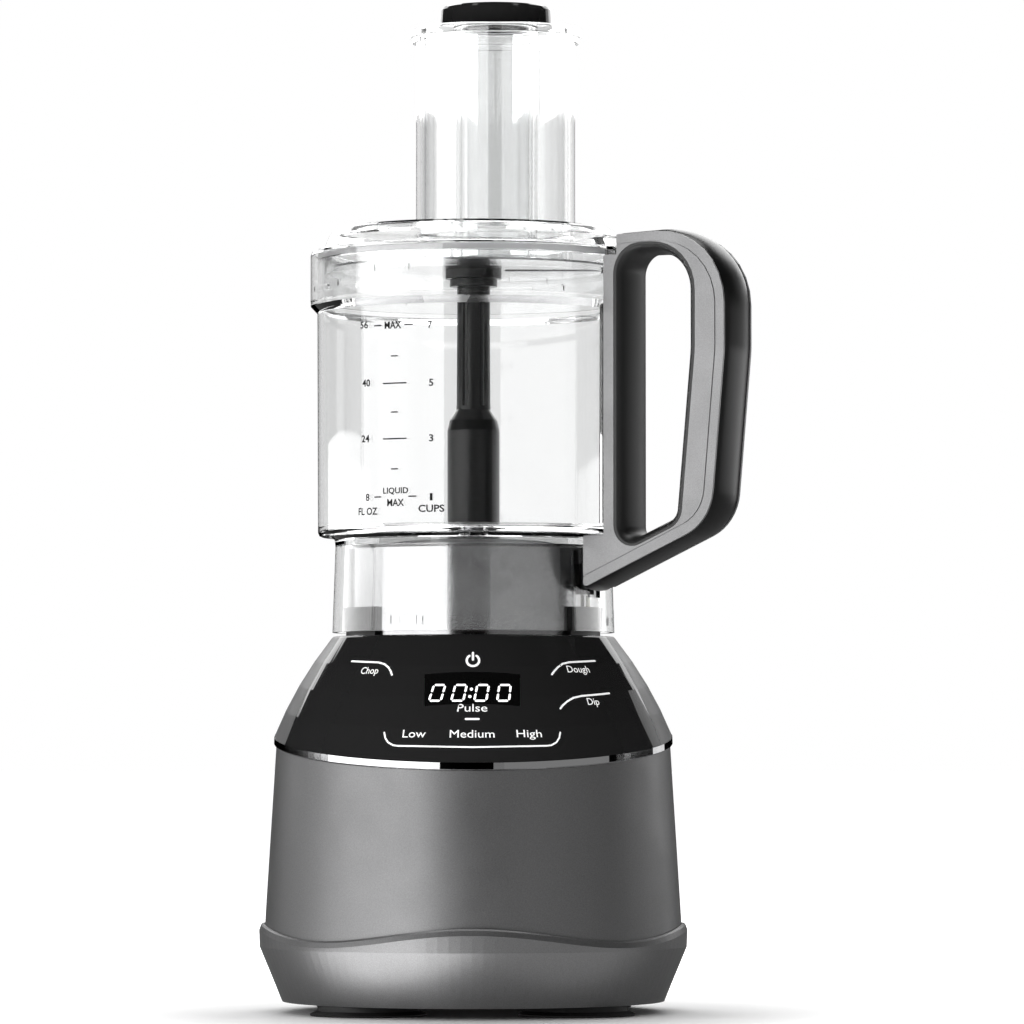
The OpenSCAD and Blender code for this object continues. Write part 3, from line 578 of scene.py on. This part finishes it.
for name, text, turn, height, w, h in (
        ("mark_56", "56", -43.1, 325.0, 5.0, 3.4), ("mark_max", "MAX", -30.0, 324.3, 9.2, 3.5),
        ("mark_7", "7", -15.4, 323.9, 2.1, 3.4), ("mark_40", "40", -42.1, 297.5, 5.0, 3.4),
        ("mark_5", "5", -15.0, 296.8, 2.1, 3.4), ("mark_24", "24", -42.5, 271.3, 5.0, 3.4),
        ("mark_3", "3", -15.0, 270.8, 2.1, 3.4), ("mark_8", "8", -41.5, 243.6, 2.3, 3.4),
        ("mark_liquid", "LIQUID", -29.0, 246.2, 13.6, 3.4), ("mark_low_max", "MAX", -29.0, 240.8, 9.1, 3.4),
        ("mark_1", "1", -15.0, 243.2, 1.3, 3.4), ("mark_floz", "FL OZ", -41.5, 237.0, 12.0, 3.5),
        ("mark_cups", "CUPS", -15.0, 237.8, 12.6, 3.5)):
    on_bowl(name, words(text, w, h, bold=0.02), turn, height)
TICKS_HEIGHT = 280
ticks = []
for y, spans in ((324.3, ((-11.3, -7.4), (5.6, 9.6))), (309.7, ((-1.6, 1.6),)), (296.9, ((-6.2, 6.2),)),
                 (283.3, ((-1.6, 1.6),)), (270.8, ((-6.2, 6.2),)), (256.6, ((-1.6, 1.6),)),
                 (243.6, ((-11.2, -7.6), (7.6, 11.2)))):
    ticks += [stroke(along([(a, y - TICKS_HEIGHT), (b, y - TICKS_HEIGHT)]), 0.62, 4) for a, b in spans]
on_bowl("tick_marks", flat_solid(ticks), -29.4, TICKS_HEIGHT)

# ---------- floor and light ----------

# The floor glows from a little way out, so that only a soft shadow shows round the feet.
floor_mat = material("floor", (0.92, 0.92, 0.92), 0.6, Emission_Color=WHITE, Specular_IOR_Level=0.2)
drive(floor_mat, "Roughness", noise(floor_mat, 12), 0.55, 0.65)
tree = floor_mat.node_tree
glow = map_range(tree, axis_distance(tree, object_coords(tree)), (0.1, 0.36, 0.0, 0.98), smooth=True)
tree.links.new(glow, tree.nodes["Principled BSDF"].inputs["Emission Strength"])
bm = bmesh.new()
bmesh.ops.create_grid(bm, x_segments=2, y_segments=2, size=30)
floor_mesh = bpy.data.meshes.new("floor")
bm.to_mesh(floor_mesh)
bm.free()
floor = bpy.data.objects.new("floor", floor_mesh)
floor_mesh.materials.append(floor_mat)
scene.collection.objects.link(floor)
# Reflections see the lights alone, neither the floor nor the world.
floor.visible_glossy = False

# The studio is white behind the object and dark elsewhere, which draws the edges of the clear parts.
world = bpy.data.worlds.new("studio")
scene.world = world
world.use_nodes = True
tree = world.node_tree
split = tree.nodes.new("ShaderNodeSeparateXYZ")
tree.links.new(tree.nodes.new("ShaderNodeTexCoord").outputs["Generated"], split.inputs[0])
backdrop = map_range(tree, split.outputs[1], (0.5, 0.95, 0.06, 1.0), smooth=True)
tree.links.new(backdrop, tree.nodes["Background"].inputs["Strength"])
tree.nodes["Background"].inputs["Color"].default_value = WHITE
world.cycles_visibility.glossy = False


def area_light(name, width, depth, radiance, location, rotation):
    """Rectangular light of an even radiance, hidden from the camera."""
    data = bpy.data.lights.new(name, "AREA")
    data.shape = "RECTANGLE"
    data.size, data.size_y = width, depth
    data.energy = radiance * math.pi * width * depth
    obj = bpy.data.objects.new(name, data)
    obj.location = location
    obj.rotation_euler = rotation
    obj.visible_camera = False
    scene.collection.objects.link(obj)


SOFTBOX_DISTANCE = 1.7


def softbox(name, azimuth, half_angle, low, high, radiance):
    """Upright light at an azimuth from the front, spanning an angle each way and two heights."""
    a = math.radians(azimuth)
    width = 2 * SOFTBOX_DISTANCE * math.tan(math.radians(half_angle))
    spot = (SOFTBOX_DISTANCE * math.sin(a), -SOFTBOX_DISTANCE * math.cos(a), (low + high) / 2)
    area_light(name, width, high - low, radiance, spot, (math.pi / 2, 0, a))


def low_light(name, azimuth, half_width, near, far, radiance, height=0.001):
    """Light that lies on the floor and faces up, between two distances from the object."""
    a = math.radians(azimuth)
    middle = (near + far) / 2
    spot = (middle * math.sin(a), -middle * math.cos(a), height)
    area_light(name, 2 * half_width, far - near, radiance, spot, (math.pi, 0, a))


softbox("left", -55, 34, 0.02, 0.85, 3.0)
softbox("right", 48, 34, 0.02, 0.85, 0.29)
softbox("back_right", 133, 7, 0.02, 0.85, 1.1)
# These two light the shoulder's sides, and the next two the neck's.
softbox("high_left", -157, 18, 0.62, 1.6, 3.4)
softbox("high_right", 157, 18, 0.62, 1.6, 2.8)
softbox("neck_left", -112, 22, 0.2, 0.36, 2.6)
softbox("neck_right", 112, 20, 0.2, 0.36, 2.0)
area_light("top", 2.01384, 1.8, 3.2, (0, 0.5, 2.2), (0, 0, 0))
# The skirt leans in, so it mirrors the floor just in front of it.
low_light("low_left", -31, 0.08, 0.112, 1.4, 3.4)
low_light("low_right", 32, 0.14, 0.11, 1.4, 0.45)
# This one stands for the light that a pale floor sends up, since the floor is hidden from reflections.
low_light("bounce", 0, 1.6, -1.6, 1.6, 0.18, height=0.0005)

scene.view_settings.view_transform = "Standard"
scene.cycles.max_bounces = 40
scene.cycles.transmission_bounces = 36
scene.cycles.transparent_max_bounces = 24
scene.cycles.glossy_bounces = 8
scene.cycles.caustics_refractive = True
